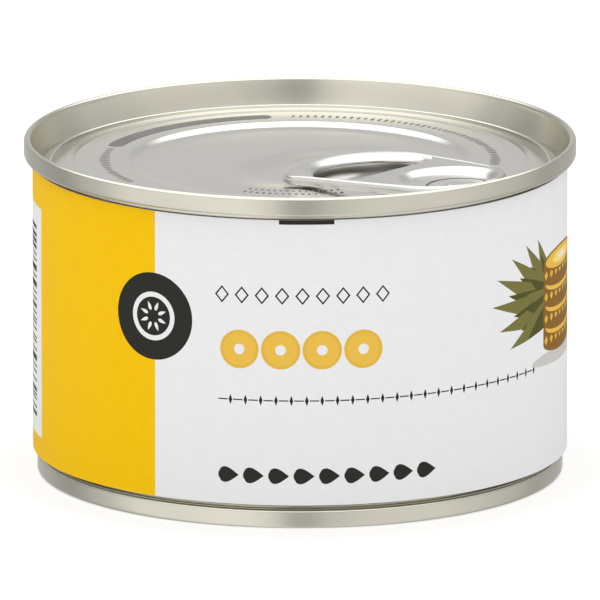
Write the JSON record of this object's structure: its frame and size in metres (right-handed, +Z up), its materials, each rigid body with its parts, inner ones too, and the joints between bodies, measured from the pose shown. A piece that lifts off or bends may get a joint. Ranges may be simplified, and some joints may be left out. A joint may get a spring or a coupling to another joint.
{
  "type": "food can",
  "caption": "Shut low steel food can with double seams, a riveted ring pull in a stepped lid and a paper wrap label, full of cut fruit.",
  "frame": {"origin": "middle of the circle on which the base seam stands, at floor level", "axes": "+Z up along the can's axis, the front of the label faces -Y, and the ring pull's rivet lies towards +X and -Y"},
  "size_m": [0.0874, 0.0874, 0.0536],
  "materials": {
    "tinplate": "satin tinplate with a faint grain",
    "lid_tinplate": "lacquered tinplate, fairly bright",
    "label_paper": "printed coated paper: yellow and white fields with simple fruit shapes"
  },
  "bodies": {
    "root": {"can_body": "tinplate", "base_end": "tinplate", "lid": "lid_tinplate", "pull_tab": "lid_tinplate", "label": "label_paper"}
  },
  "joints": []
}
